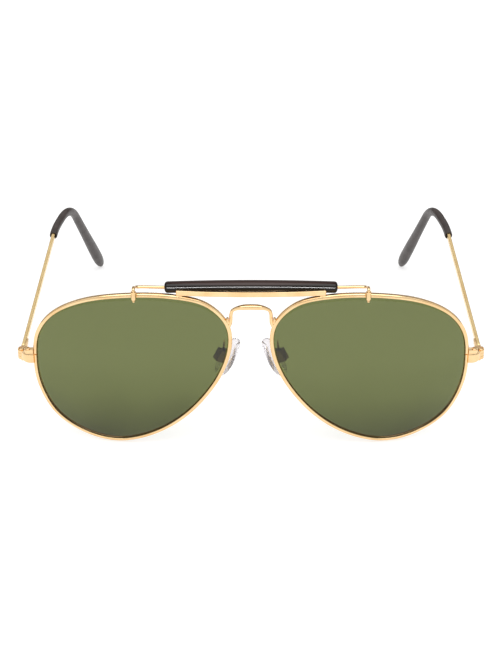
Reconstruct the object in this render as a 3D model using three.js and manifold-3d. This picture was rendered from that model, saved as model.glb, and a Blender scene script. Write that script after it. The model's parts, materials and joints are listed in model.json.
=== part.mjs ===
// Gold-wire aviator sunglasses with a padded brow bar, standing open on their lower rims and temple tips.
// Everything is modelled in the front frame, in millimetres: +X to the wearer's left, +Y back towards the
// face, +Z up along the front. Each paired piece is built for the wearer's left and mirrored in X = 0.
// The finished front leans forward by LEAN and is set down with its bounding box centred over the origin.

import * as THREE from 'three';
import { mergeVertices } from 'three/addons/utils/BufferGeometryUtils.js';
import Module from 'manifold-3d';

const wasm = await Module();
wasm.setup();

// ---------------------------------------------------------------- driving dimensions (mm, degrees)

const LEAN = 5.5; // forward lean of the front when the glasses stand on a table
const GAP = 0.1; // space left at each soldered seam

// Lens outline seen square on: u runs from the nose outwards, w upwards, from the lens centre.
const LENS_OUTLINE = [
  [30.0, 3.0], [28.5, 11.4], [23.0, 18.4], [13.3, 23.3],
  [0.5, 25.6], [-12.0, 25.4], [-22.2, 22.65], [-28.5, 15.95],
  [-29.2, 7.4], [-25.2, -3.0], [-16.85, -14.0], [-6.8, -21.85],
  [4.5, -26.0], [14.9, -24.45], [24.15, -18.05], [29.0, -7.8],
];
const LENS_CENTRE = [37.0, 27.9]; // x and z of the lens centre
const LENS_RADIUS = 95; // spherical curve of the lens and rim
const LENS_WRAP = 5; // each lens turns back at its outer side
const LENS_THICKNESS = 1.2;
const LENS_PLAY = 0.12; // lens edge to rim

const RIM_FACE = 1.3; // rim width seen from the front
const RIM_DEPTH = 2.0;
const RIM_CHAMFER = 0.3;
const GROOVE_DEPTH = 0.55;
const GROOVE_WIDTH = 0.9;
const RIM_SPLIT = 0.4; // cut through the rim between the two closing blocks
const RIM_STEPS = 60;

const TUBE_HALF = 26.3; // brow pad, half its length
const TUBE_RADIUS = 1.8;
const TUBE_SWELL = 0.1; // the pad is this much fatter at its middle
const TUBE_MIDDLE = [4.85, 56.6]; // y, z of its centreline on X = 0
const TUBE_BOW = [0.85, -0.9]; // what is added to y, z at its ends
const TUBE_ROUNDING = [[0, 0.5], [0.25, 0.8], [0.9, 1]]; // [distance from the end, share of the radius]
const BROW_WIRE_RADIUS = 0.5;
const BROW_BORE_RADIUS = 0.6;
const BROW_WIRE_REACH = 35.6; // x of its turned-down ends
const BROW_WIRE_FRONT = 1.58; // y of its turned-down ends

const BAR_HALF = 22.75; // flat gold bar, half its length
const BAR_MIDDLE = [2.15, 55.3];
const BAR_BOW = [0.85, 0.1];
const BAR_HEIGHT = 1.7;
const BAR_THICKNESS = 1.1;

// The ferrule that holds each end of the brow wire to the rim: [radius, height above its lowest point].
const CLIP_BOTTOM = 52.75;
const CLIP_PROFILE = [
  [0, 0], [0.3, 0.06], [0.45, 0.3], [0.42, 0.5], [0.66, 0.75], [0.82, 1.3], [0.82, 3.3],
  [0.74, 3.8], [0.58, 3.8], [0.58, 1.6], [0, 1.6],
];
const CLIP_SEAT = 1.8; // height of the wire's end above the ferrule's lowest point

const BRIDGE_RADIUS = 0.92; // at the middle of the saddle
const BRIDGE_LEG_RADIUS = 0.55;
const BRIDGE_PATH = [
  [0, 2.8, 50.45], [2.4, 2.85, 50.3], [4.35, 2.95, 49.85], [5.65, 3.0, 49.05],
  [6.08, 3.0, 47.8], [6.16, 3.05, 46.2], [6.22, 3.1, 44.1],
];

const HINGE = [72.0, 11.5, 28.5]; // middle of the hinge, on its pin
const HINGE_HEIGHT = 3.2;
const KNUCKLE_RADIUS = 1.2;
const KNUCKLE_MIDDLE = 1.04; // height of the temple's knuckle
const KNUCKLE_PLAY = 0.06;
const HINGE_SCREW_RADIUS = 0.6;
const HINGE_BORE_RADIUS = 0.65;
const HINGE_HEAD = [1.0, 0.5]; // screw head radius and height
const HINGE_PLATE_FRONT = 9.7; // y where the hinge is soldered to the end piece

const LUG_PATH = [ // x, y, z, half height, half depth
  [68.0, 7.5, 29.4, 1.75, 0.95], [68.9, 7.5, 29.4, 1.75, 1.0], [69.7, 7.6, 29.5, 1.6, 1.0],
  [70.3, 7.95, 29.65, 1.3, 0.95], [70.6, 8.7, 29.75, 1.05, 0.85], [70.65, 9.55, 29.75, 1.0, 0.8],
];
const SEAM_Z = 31.0; // where the rim is split
const CLOSING_AT = [69.55, 7.7]; // x, y of the closing screw
const CLOSING_HEIGHT = 1.3; // of the upper block
const CLOSING_SHANK = 0.4; // screw radius
const CLOSING_LENGTH = 3.4;
const CLOSING_HEAD = [0.78, 0.45];

const TEMPLE_HEIGHT = 1.9;
const TEMPLE_THICKNESS = 1.1;
const CORE_HEIGHT = 1.5;
const CORE_THICKNESS = 0.9;
const CORE_PLAY = 0.1;
const TEMPLE_START = [71.75, 14.5, 28.9];
const TEMPLE_INWARD = 2.8; // the straight wire closes in by this angle
const TEMPLE_RISE = 1.2; // and rises by this one, in the front frame
const SLEEVE_FROM = 70.6; // length of wire in front of the tip sleeve
const CORE_SHORT = 9; // the wire core stops this far inside the tip's end
const KINK_FROM = 71.6;
const KINK_LENGTH = 9.0;
const KINK_ANGLE = 9.7;
const EAR_FROM = 82.8;
const EAR_RADIUS = 20.4;
const EAR_ANGLE = 52.6;
const TEMPLE_LENGTH = 147; // from the wire's front end to the end of the tip
const SLEEVE_PROFILE = [ // length from the sleeve's front end, height, width
  [0, 2.3, 2.2], [0.35, 2.7, 2.6], [1.2, 2.85, 2.7], [14, 2.9, 2.75], [31, 3.0, 2.85], [46, 3.5, 3.1],
  [59, 4.1, 3.6], [68, 4.35, 3.7], [72.6, 3.75, 3.2], [75.2, 2.6, 2.3], [76.1, 1.3, 1.2],
];

const PAD_CENTRE = [7.3, 9.8, 28.2];
const PAD_SPLAY = 25; // the pads open towards the face
const PAD_TILT = 31; // and towards their lower ends
const PAD_LENGTH = 13.5;
const PAD_WIDTH = 6.4;
const PAD_THICKNESS = 2.6;
const PAD_POCKET = [4.6, 3.2, 1.0]; // along, across and deep, for the core's foot
const PAD_PIVOT = -2.9; // rocking screw, behind the middle of the pad
const PAD_BORE_RADIUS = 0.45;
const PAD_SHANK = 0.4; // screw radius
const PAD_HEAD = [0.75, 0.4];
const PAD_TAB = [1.8, 0.8]; // the core's tab, along and across
const PAD_BOX = [3.8, 2.7]; // the arm's box, along and across
const PAD_SLOT = 1.0; // width of the box's slot for the tab
const PAD_ARM_RADIUS = 0.42;
const PAD_ARM_PATH = [ // the last point is the top of the pad box
  [7.2, 1.8, 46.2], [7.2, 3.3, 46.1], [7.2, 4.9, 45.1], [7.3, 6.2, 43.0],
  [7.45, 7.2, 40.4], [7.7, 8.0, 37.6], [8.2, 8.6, 35.0],
];

const FINE = 16; // sides of barrels, bores and screws
const PLAIN = 12; // sides of tubes and sleeves
const THIN = 8; // sides of wires

// ---------------------------------------------------------------- materials

const FINISHES = {
  gold: { color: 0xe3b76a, metalness: 1.0, roughness: 0.18 },
  green_lens: { color: 0x5c6b3a, metalness: 0.0, roughness: 0.05, transparent: true, opacity: 0.75 },
  black_gloss: { color: 0x15100d, metalness: 0.0, roughness: 0.2 },
  dark_tip: { color: 0x3a312f, metalness: 0.0, roughness: 0.55 },
  clear_pad: { color: 0xe9e6e0, metalness: 0.0, roughness: 0.15, transparent: true, opacity: 0.45 },
};

// ---------------------------------------------------------------- geometry helpers

const radians = THREE.MathUtils.degToRad;
const vector = (x, y, z) => new THREE.Vector3(x, y, z);

function fromTriangles(positions, index) {
  const geometry = new THREE.BufferGeometry();
  geometry.setAttribute('position', new THREE.Float32BufferAttribute(positions, 3));
  geometry.setIndex(index);
  return geometry;
}

// Triangles over a flat section, anticlockwise in its own coordinates.
function sectionTriangles(section) {
  const contour = section.map(([a, b]) => new THREE.Vector2(a, b));
  return THREE.ShapeUtils.triangulateShape(contour, []).map(([i, j, k]) => {
    const area = contour[j].clone().sub(contour[i]).cross(contour[k].clone().sub(contour[i]));
    return area > 0 ? [i, j, k] : [i, k, j];
  });
}

// A closed skin over stations { at, a, b, section }: each section's pairs run along the directions a and b,
// and a × b points to the next station. Every section has the same number of pairs.
// The ends are flat, or pointed where first or last is given.
function skin(stations, { loop = false, first = null, last = null } = {}) {
  const count = stations[0].section.length;
  const points = stations.flatMap(({ at, a, b, section }) =>
    section.map(([p, q]) => at.clone().addScaledVector(a, p).addScaledVector(b, q)));
  const index = [];
  const bands = loop ? stations.length : stations.length - 1;
  for (let band = 0; band < bands; band += 1) {
    const here = band * count;
    const next = ((band + 1) % stations.length) * count;
    for (let k = 0; k < count; k += 1) {
      const l = (k + 1) % count;
      index.push(here + k, here + l, next + l, here + k, next + l, next + k);
    }
  }
  const close = (start, section, point, outwards) => {
    if (point) {
      points.push(point);
      for (let k = 0; k < count; k += 1) {
        const edge = outwards ? [start + k, start + (k + 1) % count] : [start + (k + 1) % count, start + k];
        index.push(...edge, points.length - 1);
      }
      return;
    }
    sectionTriangles(section).forEach(([i, j, k]) => {
      index.push(start + i, start + (outwards ? j : k), start + (outwards ? k : j));
    });
  };
  if (!loop) {
    close(0, stations[0].section, first, false);
    close((stations.length - 1) * count, stations[stations.length - 1].section, last, true);
  }
  return fromTriangles(points.flatMap((p) => [p.x, p.y, p.z]), index);
}

// Stations along a row of points, each square to the way the row runs there; a stays close to up.
function stationsAlong(points, up, sectionAt) {
  return points.map((at, i) => {
    const before = points[Math.max(i - 1, 0)];
    const after = points[Math.min(i + 1, points.length - 1)];
    const travel = after.clone().sub(before).normalize();
    const a = up.clone().addScaledVector(travel, -up.dot(travel)).normalize();
    const b = travel.clone().cross(a);
    return { at, a, b, section: sectionAt(i, at) };
  });
}

function oval(halfA, halfB, sides) {
  return Array.from({ length: sides }, (_, k) => {
    const angle = (2 * Math.PI * (k + 0.5)) / sides;
    return [halfA * Math.cos(angle), halfB * Math.sin(angle)];
  });
}

// A rectangle with cut corners, eight pairs.
function bar(height, width, cut) {
  const [h, w] = [height / 2, width / 2];
  return [
    [h, -w + cut], [h, w - cut], [h - cut, w], [-h + cut, w],
    [-h, w - cut], [-h, -w + cut], [-h + cut, -w], [h - cut, -w],
  ];
}

// A bent round wire: its section is carried along without twisting.
function wire(points, radius) {
  const section = oval(radius, radius, THIN);
  let side = null;
  return skin(stationsAlong(points, vector(0, 0, 1), () => section).map(({ at, a, b }) => {
    const travel = a.clone().cross(b);
    side = (side ?? a).clone().addScaledVector(travel, -(side ?? a).dot(travel)).normalize();
    return { at, a: side, b: travel.clone().cross(side), section };
  }));
}

function throughPoints(points, steps) {
  const curve = new THREE.CatmullRomCurve3(points.map((p) => vector(...p)), false, 'centripetal');
  return curve.getSpacedPoints(steps);
}

// The mirror image in X = 0, with its triangles turned round so that it still faces out.
function mirrored(geometry) {
  const copy = (geometry.index ? geometry.clone() : mergeVertices(geometry)).scale(-1, 1, 1);
  const order = Array.from(copy.index.array);
  for (let i = 0; i < order.length; i += 3) {
    [order[i + 1], order[i + 2]] = [order[i + 2], order[i + 1]];
  }
  copy.setIndex(order);
  return copy;
}

function toSolid(geometry) {
  const plain = geometry.clone();
  plain.deleteAttribute('normal');
  plain.deleteAttribute('uv');
  const merged = mergeVertices(plain, 1e-4);
  return new wasm.Manifold(new wasm.Mesh({
    numProp: 3,
    vertProperties: new Float32Array(merged.attributes.position.array),
    triVerts: new Uint32Array(merged.index.array),
  }));
}

function toGeometry(solid) {
  const mesh = solid.getMesh();
  return fromTriangles(Array.from(mesh.vertProperties), Array.from(mesh.triVerts));
}

function cutFrom(geometry, ...tools) {
  return toGeometry(tools.reduce((solid, tool) => solid.subtract(toSolid(tool)), toSolid(geometry)));
}

function joined(...geometries) {
  return toGeometry(geometries.map(toSolid).reduce((sum, solid) => sum.add(solid)));
}

function block([x0, x1], [y0, y1], [z0, z1]) {
  return new THREE.BoxGeometry(x1 - x0, y1 - y0, z1 - z0)
    .translate((x0 + x1) / 2, (y0 + y1) / 2, (z0 + z1) / 2);
}

// An upright rod between two heights.
function rod(x, y, [z0, z1], radius, sides = FINE) {
  return new THREE.CylinderGeometry(radius, radius, z1 - z0, sides)
    .rotateX(Math.PI / 2)
    .translate(x, y, (z0 + z1) / 2);
}

// Turned about the upright line through x, y from a profile of [radius, height] pairs.
function turned(profile, sides = FINE) {
  return new THREE.LatheGeometry(profile.map(([r, z]) => new THREE.Vector2(r, z)), sides)
    .rotateX(Math.PI / 2);
}

// A slotted screw along +Z: the underside of its head is at z 0 and its shank hangs below.
function screw(shankRadius, shankLength, [headRadius, headHeight]) {
  const slotHalfWidth = 0.13;
  const body = turned([
    [0, -shankLength], [shankRadius, -shankLength], [shankRadius, 0], [headRadius, 0],
    [headRadius, headHeight * 0.6], [headRadius * 0.8, headHeight], [0, headHeight],
  ]);
  const slot = block([-headRadius - 1, headRadius + 1], [-slotHalfWidth, slotHalfWidth],
    [headHeight * 0.55, headHeight + 1]);
  return cutFrom(body, slot);
}

// ---------------------------------------------------------------- lens surface and outline

// A point of the left lens surface, d behind its middle sphere, with the surface's backward direction.
function lensSurface(u, w, d = 0) {
  const drop = Math.sqrt(LENS_RADIUS ** 2 - u * u - w * w);
  const back = vector(-u, drop, -w).divideScalar(LENS_RADIUS);
  const local = vector(u, LENS_RADIUS - drop, w).addScaledVector(back, d);
  const turn = new THREE.Matrix4().makeRotationZ(radians(LENS_WRAP));
  const at = local.applyMatrix4(turn).add(vector(LENS_CENTRE[0], 0, LENS_CENTRE[1]));
  return { at, back: back.transformDirection(turn) };
}

const outline = new THREE.CatmullRomCurve3(
  LENS_OUTLINE.map(([u, w]) => vector(u, w, 0)), true, 'catmullrom', 0.5);

// A station on the outline at a share of its length: a points out of the lens, b points back.
function rimStation(share, section) {
  const { x: u, y: w } = outline.getPointAt(share);
  const along = outline.getTangentAt(share);
  const small = 1e-3;
  const { at, back } = lensSurface(u, w);
  const a = lensSurface(u + along.y * small, w - along.x * small).at.sub(at).normalize();
  return { at, a, b: back, section };
}

// ---------------------------------------------------------------- front pieces

function makeRim() {
  const half = RIM_DEPTH / 2;
  const section = [
    [0, -half], [RIM_FACE - RIM_CHAMFER, -half], [RIM_FACE, -half + RIM_CHAMFER],
    [RIM_FACE, half - RIM_CHAMFER], [RIM_FACE - RIM_CHAMFER, half], [0, half],
    [0, GROOVE_WIDTH / 2], [GROOVE_DEPTH, 0], [0, -GROOVE_WIDTH / 2],
  ];
  const splitShare = RIM_SPLIT / 2 / outline.getLength();
  const stations = Array.from({ length: RIM_STEPS + 1 }, (_, i) =>
    rimStation(splitShare + (1 - 2 * splitShare) * (i / RIM_STEPS), section));
  return skin(stations);
}

function makeLens() {
  const half = LENS_THICKNESS / 2;
  const bevel = GROOVE_WIDTH / 2 - LENS_PLAY;
  const tip = GROOVE_DEPTH - 2 * LENS_PLAY;
  const edge = (shift, depth) => Array.from({ length: RIM_STEPS }, (_, i) => {
    const { at, a, b } = rimStation(i / RIM_STEPS, []);
    return at.addScaledVector(a, shift).addScaledVector(b, depth);
  });
  const face = (scale, depth) => Array.from({ length: RIM_STEPS }, (_, i) => {
    const { x: u, y: w } = outline.getPointAt(i / RIM_STEPS);
    return lensSurface(u * scale, w * scale, depth).at;
  });
  const rings = [
    face(0.4, half), face(0.75, half), edge(-LENS_PLAY, half), edge(-LENS_PLAY, bevel), edge(tip, 0),
    edge(-LENS_PLAY, -bevel), edge(-LENS_PLAY, -half), face(0.75, -half), face(0.4, -half),
  ];
  const origin = { at: vector(0, 0, 0), a: vector(1, 0, 0), b: vector(0, 1, 0) };
  const index = skin(rings.map((ring) => ({ ...origin, section: ring.map((p) => [p.x, p.z]) })), {
    first: lensSurface(0, 0, half).at,
    last: lensSurface(0, 0, -half).at,
  }).index;
  const points = [...rings.flat(), lensSurface(0, 0, half).at, lensSurface(0, 0, -half).at];
  return fromTriangles(points.flatMap((p) => [p.x, p.y, p.z]), Array.from(index.array));
}

// A level curve across the front: y and z change with the square of the distance from the middle.
function bowed(x, half, [y, z], [dy, dz]) {
  const share = (x / half) ** 2;
  return vector(x, y + dy * share, z + dz * share);
}

function tubePoint(x) {
  return bowed(x, TUBE_HALF, TUBE_MIDDLE, TUBE_BOW);
}

const TUBE_STEPS = 12;
const TUBE_XS = Array.from({ length: TUBE_STEPS + 1 }, (_, i) => TUBE_HALF * (2 * (i / TUBE_STEPS) - 1));

// A pad slipped over the brow wire: rounded ends, thickest in the middle, bored for the wire.
function makeBrowPad() {
  const ends = TUBE_ROUNDING.map(([distance, share]) => ({ x: TUBE_HALF - distance, share }));
  const places = [
    ...ends.map(({ x, share }) => ({ x: -x, share })),
    ...TUBE_XS.slice(1, -1).map((x) => ({ x, share: 1 })),
    ...ends.reverse(),
  ];
  const upright = vector(0, 0, 1);
  const outer = stationsAlong(places.map(({ x }) => tubePoint(x)), upright, (i) => {
    const { x, share } = places[i];
    const radius = share * (TUBE_RADIUS + TUBE_SWELL * (1 - (x / TUBE_HALF) ** 2));
    return oval(radius, radius, PLAIN);
  });
  const bore = stationsAlong(TUBE_XS.map(tubePoint), upright, () =>
    oval(BROW_BORE_RADIUS, BROW_BORE_RADIUS, PLAIN));
  return skin([...outer, ...bore.reverse()], { loop: true });
}

// The brow wire runs through the pad, turns forward over the rims and down into the two ferrules.
function makeBrowWire() {
  const { y, z } = tubePoint(TUBE_HALF);
  const [reach, face] = [BROW_WIRE_REACH, BROW_WIRE_FRONT];
  const hook = throughPoints([
    [TUBE_HALF + 2, y + 0.05, z], [reach - 2.2, y + 0.1, z + 0.1], [reach - 0.7, y - 0.3, z + 0.25],
    [reach - 0.1, y - 1.6, z + 0.9], [reach, face + 1.05, z + 1.5], [reach, face + 0.3, z + 1.45],
    [reach, face, z + 0.95], [reach, face, CLIP_BOTTOM + CLIP_SEAT],
  ], 18);
  const other = hook.map((p) => vector(-p.x, p.y, p.z)).reverse();
  return wire([...other, ...TUBE_XS.map(tubePoint), ...hook], BROW_WIRE_RADIUS);
}

function makeBrowClip() {
  return turned(CLIP_PROFILE, PLAIN).translate(BROW_WIRE_REACH, BROW_WIRE_FRONT, CLIP_BOTTOM);
}

function makeBrowBar() {
  const section = bar(BAR_HEIGHT, BAR_THICKNESS, 0.15);
  const last = 14;
  const points = Array.from({ length: last + 1 }, (_, i) =>
    bowed(BAR_HALF * (2 * (i / last) - 1), BAR_HALF, BAR_MIDDLE, BAR_BOW));
  return skin(stationsAlong(points, vector(0, 0, 1), () => section));
}

// The bridge is thick across the saddle and thins down both legs.
function makeBridge() {
  const half = throughPoints(BRIDGE_PATH, 18);
  const other = half.slice(1).map((p) => vector(-p.x, p.y, p.z)).reverse();
  const saddle = BRIDGE_PATH[0][2];
  return skin(stationsAlong([...other, ...half], vector(0, 1, 0), (i, at) => {
    const share = THREE.MathUtils.smoothstep(Math.abs(at.x) + saddle - at.z, 1.5, 6.5);
    const radius = THREE.MathUtils.lerp(BRIDGE_RADIUS, BRIDGE_LEG_RADIUS, share);
    return oval(radius, radius, 10);
  }));
}

// ---------------------------------------------------------------- rim closing and hinge

// The end piece reaches from the rim's outer side back to the hinge; its top is the lower closing block.
function makeEndPiece() {
  const places = LUG_PATH.map(([x, y, z]) => vector(x, y, z));
  const body = skin(stationsAlong(places, vector(0, 0, 1), (i) => {
    const [, , , halfHeight, halfDepth] = LUG_PATH[i];
    return bar(2 * halfHeight, 2 * halfDepth, 0.5);
  }));
  const aboveSeam = block([66, 74], [4, 12], [SEAM_Z - GAP, SEAM_Z + 3]);
  const thread = rod(...CLOSING_AT, [SEAM_Z - 2.4, SEAM_Z + 1], CLOSING_SHANK + 0.05, PLAIN);
  return cutFrom(body, aboveSeam, thread);
}

// The upper closing block, soldered to the rim just above its split.
function makeClosingBlock() {
  const shape = new THREE.Shape();
  const [x, y] = CLOSING_AT;
  const [inward, halfDepth] = [1.5, 0.95];
  shape.moveTo(x - inward, y - halfDepth);
  shape.lineTo(x + 0.5, y - halfDepth);
  shape.absarc(x + 0.1, y, halfDepth + 0.03, -Math.PI / 3, Math.PI / 3);
  shape.lineTo(x - inward, y + halfDepth);
  const hole = new THREE.Path();
  hole.absarc(x, y, CLOSING_SHANK + 0.1, 0, 2 * Math.PI, true);
  shape.holes.push(hole);
  return new THREE.ExtrudeGeometry(shape, { depth: CLOSING_HEIGHT, bevelEnabled: false, curveSegments: 6 })
    .translate(0, 0, SEAM_Z + GAP);
}

function makeClosingScrew() {
  return screw(CLOSING_SHANK, CLOSING_LENGTH, CLOSING_HEAD)
    .translate(...CLOSING_AT, SEAM_Z + GAP + CLOSING_HEIGHT + 0.05);
}

const [HX, HY, HZ] = HINGE;
const HINGE_LOW = HZ - HINGE_HEIGHT / 2;
const HINGE_HIGH = HZ + HINGE_HEIGHT / 2;

// The front half of the hinge: an upper and a lower knuckle on one plate.
function makeHingeFront() {
  const barrel = rod(HX, HY, [HINGE_LOW, HINGE_HIGH], KNUCKLE_RADIUS);
  const plate = block([HX - 1.6, HX], [HINGE_PLATE_FRONT, HINGE_PLATE_FRONT + 0.4], [HINGE_LOW, HINGE_HIGH]);
  const web = block([HX - 1.05, HX], [HINGE_PLATE_FRONT, HY - 0.3], [HINGE_LOW, HINGE_HIGH]);
  const slotHalf = KNUCKLE_MIDDLE / 2 + KNUCKLE_PLAY;
  const slot = rod(HX, HY, [HZ - slotHalf, HZ + slotHalf], KNUCKLE_RADIUS + 0.15, 24);
  const bore = rod(HX, HY, [HINGE_LOW - 1, HINGE_HIGH + 1], HINGE_BORE_RADIUS);
  return cutFrom(joined(barrel, plate, web), slot, bore);
}

// The temple's half: the middle knuckle, a root butted to the wire and a tongue soldered along its inside.
function makeHingeRear() {
  const half = KNUCKLE_MIDDLE / 2;
  const knuckle = rod(HX, HY, [HZ - half, HZ + half], KNUCKLE_RADIUS);
  const [tx, ty, tz] = TEMPLE_START;
  const rootLength = [HY + 1.5, ty - GAP];
  const neck = block([HX - 0.75, HX + 0.3], [HY, ty - GAP], [HZ - half, HZ + half]);
  const root = block([HX - 0.8, HX + 0.35], rootLength, [tz - 0.85, tz + 0.85]);
  const inner = tx - TEMPLE_THICKNESS / 2 - GAP - 0.12;
  const tongue = block([inner - 0.6, inner], [HY + 1.5, ty + 4], [tz - 0.7, tz + 0.7]);
  const shoulder = block([inner - 0.6, HX], rootLength, [tz - 0.7, tz + 0.7]);
  const bore = rod(HX, HY, [HZ - 2, HZ + 2], HINGE_BORE_RADIUS);
  return cutFrom(joined(knuckle, neck, root, tongue, shoulder), bore);
}

function makeHingeScrew() {
  return screw(HINGE_SCREW_RADIUS, HINGE_HEIGHT - 0.05, HINGE_HEAD).translate(HX, HY, HINGE_HIGH + 0.05);
}

// ---------------------------------------------------------------- temples

// Walks along the temple: straight, a bend inwards, straight, a bend down behind the ear, straight.
// Returns the place and directions at a length s: travel, up (towards the top edge) and side (travel × up).
function templeFrame(s) {
  const heading = new THREE.Euler(radians(TEMPLE_RISE), 0, radians(TEMPLE_INWARD), 'ZXY');
  const travel = vector(0, 1, 0).applyEuler(heading);
  const up = vector(0, 0, 1).applyEuler(heading);
  const at = vector(...TEMPLE_START);
  const earLength = EAR_RADIUS * radians(EAR_ANGLE);
  const bends = [
    { from: 0, length: KINK_FROM },
    { from: KINK_FROM, length: KINK_LENGTH, axis: () => up, angle: radians(KINK_ANGLE) },
    { from: KINK_FROM + KINK_LENGTH, length: EAR_FROM - KINK_FROM - KINK_LENGTH },
    { from: EAR_FROM, length: earLength, axis: () => up.clone().cross(travel), angle: radians(EAR_ANGLE) },
    { from: EAR_FROM + earLength, length: Infinity },
  ];
  bends.forEach(({ from, length, axis, angle }) => {
    const done = THREE.MathUtils.clamp(s - from, 0, length);
    if (!angle || done === 0) {
      at.addScaledVector(travel, done);
      return;
    }
    const turned = angle * (done / length);
    const around = axis().normalize();
    const radius = length / angle;
    const half = travel.clone().applyAxisAngle(around, turned / 2);
    at.addScaledVector(half, 2 * radius * Math.sin(turned / 2));
    travel.applyAxisAngle(around, turned);
    up.applyAxisAngle(around, turned);
  });
  return { at, a: up, b: travel.clone().cross(up) };
}

const EAR_END = EAR_FROM + EAR_RADIUS * radians(EAR_ANGLE);

function steps(from, to, size) {
  const count = Math.max(1, Math.round((to - from) / size));
  return Array.from({ length: count }, (_, i) => from + ((to - from) * i) / count);
}

const CORE_END = TEMPLE_LENGTH - CORE_SHORT;
const CORE_STATIONS = [
  ...steps(SLEEVE_FROM + 0.6, KINK_FROM, 1), ...steps(KINK_FROM, KINK_FROM + KINK_LENGTH, 2.3),
  ...steps(KINK_FROM + KINK_LENGTH, EAR_FROM, 2.5), ...steps(EAR_FROM, EAR_END, 2.1), EAR_END, CORE_END,
];

function makeTemple() {
  const full = bar(TEMPLE_HEIGHT, TEMPLE_THICKNESS, 0.25);
  const thin = bar(CORE_HEIGHT, CORE_THICKNESS, 0.2);
  const outside = [0, 24, 48, SLEEVE_FROM - 1.2].map((s) => ({ ...templeFrame(s), section: full }));
  const shoulder = { ...templeFrame(SLEEVE_FROM - 0.4), section: thin };
  const inside = CORE_STATIONS.map((s) => ({ ...templeFrame(s), section: thin }));
  return skin([...outside, shoulder, ...inside]);
}

// The sleeve's height and width at a distance from its front end.
function sleeveSize(distance) {
  const after = Math.max(SLEEVE_PROFILE.findIndex(([d]) => d >= distance), 1);
  const [from, to] = [SLEEVE_PROFILE[after - 1], SLEEVE_PROFILE[after]];
  const share = (distance - from[0]) / (to[0] - from[0]);
  return [1, 2].map((k) => THREE.MathUtils.lerp(from[k], to[k], share));
}

// A sleeve over the wire core, closed and rounded at its far end.
function makeTempleTip() {
  const profileAt = SLEEVE_PROFILE.map(([distance]) => SLEEVE_FROM + distance);
  const outerAt = [
    ...profileAt.slice(0, 3),
    ...CORE_STATIONS.filter((s) => s > profileAt[2] + 0.8 && s <= EAR_END),
    ...profileAt.filter((s) => s > EAR_END),
  ];
  const outer = outerAt.map((s) => {
    const [height, width] = sleeveSize(s - SLEEVE_FROM);
    return { ...templeFrame(s), section: oval(height / 2, width / 2, PLAIN) };
  });
  const [h, w] = [CORE_HEIGHT + 2 * CORE_PLAY, CORE_THICKNESS + 2 * CORE_PLAY];
  const corners = bar(h, w, 0.2);
  const ring = [
    corners[0], [h / 2, 0], corners[1], corners[2], [h / 6, w / 2], [-h / 6, w / 2],
    corners[3], corners[4], [-h / 2, 0], corners[5], corners[6], corners[7],
  ];
  const boreAt = [SLEEVE_FROM, ...CORE_STATIONS.slice(0, -1), CORE_END + CORE_PLAY];
  const inner = boreAt.map((s) => ({ ...templeFrame(s), section: ring })).reverse();
  return skin([...inner, ...outer], { last: templeFrame(TEMPLE_LENGTH).at });
}

// ---------------------------------------------------------------- nose pads

// The pad's own directions: along it, across it from front to back, and out of its contact face.
function padDirections() {
  const splay = radians(PAD_SPLAY);
  const tilt = radians(PAD_TILT);
  const level = vector(-Math.cos(splay), Math.sin(splay), 0);
  const upright = vector(0, 0, 1);
  return {
    along: upright.clone().multiplyScalar(Math.cos(tilt)).addScaledVector(level, Math.sin(tilt)),
    across: vector(Math.sin(splay), Math.cos(splay), 0),
    out: level.clone().multiplyScalar(Math.cos(tilt)).addScaledVector(upright, -Math.sin(tilt)),
  };
}

// Moves a geometry made with X along the pad, Y across it and Z out of its contact face.
function inPadFrame(geometry) {
  const { along, across, out } = padDirections();
  const place = new THREE.Matrix4().makeBasis(along, across, out).setPosition(...PAD_CENTRE);
  return geometry.clone().applyMatrix4(place);
}

const PAD_BACK = -PAD_THICKNESS / 2;
const PAD_BORE = new THREE.CylinderGeometry(PAD_BORE_RADIUS, PAD_BORE_RADIUS, 6, FINE)
  .translate(0, 0, PAD_PIVOT);

// A block centred on X = 0 and Y = 0.
function centred([length, width], heights) {
  return block([-length / 2, length / 2], [-width / 2, width / 2], heights);
}

function makeNosePad() {
  const half = PAD_THICKNESS / 2;
  const layers = [[-half, 0.8], [-half * 0.65, 0.95], [0, 1], [half * 0.65, 0.96], [half, 0.8]];
  const outlinePairs = Array.from({ length: 20 }, (_, k) => {
    const angle = (2 * Math.PI * k) / 20;
    const narrowing = 1 - 0.14 * Math.cos(angle); // the upper end is the narrower one
    return [PAD_LENGTH / 2 * Math.cos(angle), PAD_WIDTH / 2 * Math.sin(angle) * narrowing];
  });
  const body = skin(layers.map(([z, scale]) => ({
    at: vector(0, 0, z),
    a: vector(1, 0, 0),
    b: vector(0, 1, 0),
    section: outlinePairs.map(([p, q]) => [p * (1 - (1 - scale) * 0.5), q * scale]),
  })));
  const [length, width, depth] = PAD_POCKET;
  return inPadFrame(cutFrom(body, centred([length, width], [PAD_BACK - 1, PAD_BACK + depth])));
}

// The metal core: a foot held in the pad's pocket and a tab that swings on the pad screw.
function makePadCore() {
  const [length, width, depth] = PAD_POCKET;
  const [tabLength, tabWidth] = PAD_TAB;
  const foot = centred([length - 0.3, width - 0.3], [PAD_BACK + 0.1, PAD_BACK + depth - 0.15]);
  const tab = centred([tabLength, tabWidth], [PAD_PIVOT, PAD_BACK + 0.5]);
  const heel = new THREE.CylinderGeometry(tabLength / 2, tabLength / 2, tabWidth, FINE)
    .translate(0, 0, PAD_PIVOT);
  return inPadFrame(cutFrom(joined(foot, tab, heel), PAD_BORE));
}

// The box on the end of the pad arm: two cheeks and a back around the tab.
function makePadBox() {
  const [front, back] = [PAD_BACK - 0.42, PAD_PIVOT - 1.35];
  const slot = centred([PAD_BOX[0] + 2, PAD_SLOT], [back + 0.35, front + 1]);
  return inPadFrame(cutFrom(centred(PAD_BOX, [back, front]), slot, PAD_BORE));
}

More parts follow.
